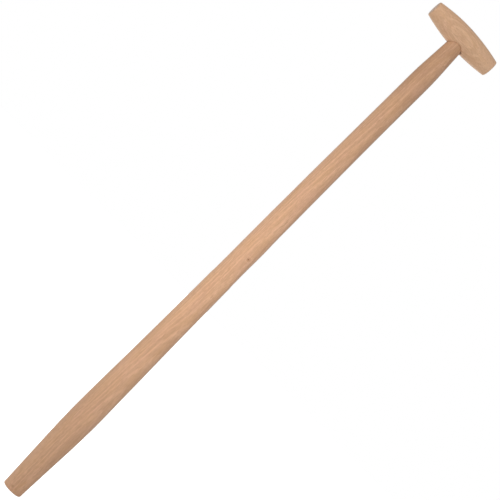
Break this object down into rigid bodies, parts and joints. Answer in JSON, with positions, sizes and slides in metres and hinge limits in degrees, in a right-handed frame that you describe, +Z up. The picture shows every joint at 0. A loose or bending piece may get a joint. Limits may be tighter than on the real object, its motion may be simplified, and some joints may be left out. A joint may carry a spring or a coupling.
{
  "type": "t-handled tool shaft",
  "caption": "Turned hardwood tool shaft with a barrel-shaped T-grip wedged across its top and a tapered lower end that drives into the socket of a tool head.",
  "frame": {"origin": "centre of the flat lower end, which goes into the socket of a tool head", "axes": "+Z up along the shaft towards the crosspiece, X along the crosspiece, Y across it"},
  "size_m": [0.116, 0.0412, 0.9],
  "materials": {
    "shaft_ash": "sanded and unvarnished, grain along the shaft",
    "crosspiece_ash": "sanded and unvarnished, grain along the crosspiece",
    "wedge_hardwood": "end grain, trimmed flush and sanded"
  },
  "bodies": {
    "root": {"shaft": "shaft_ash", "crosspiece_grip": "crosspiece_ash", "tenon_wedge": "wedge_hardwood"}
  },
  "joints": []
}
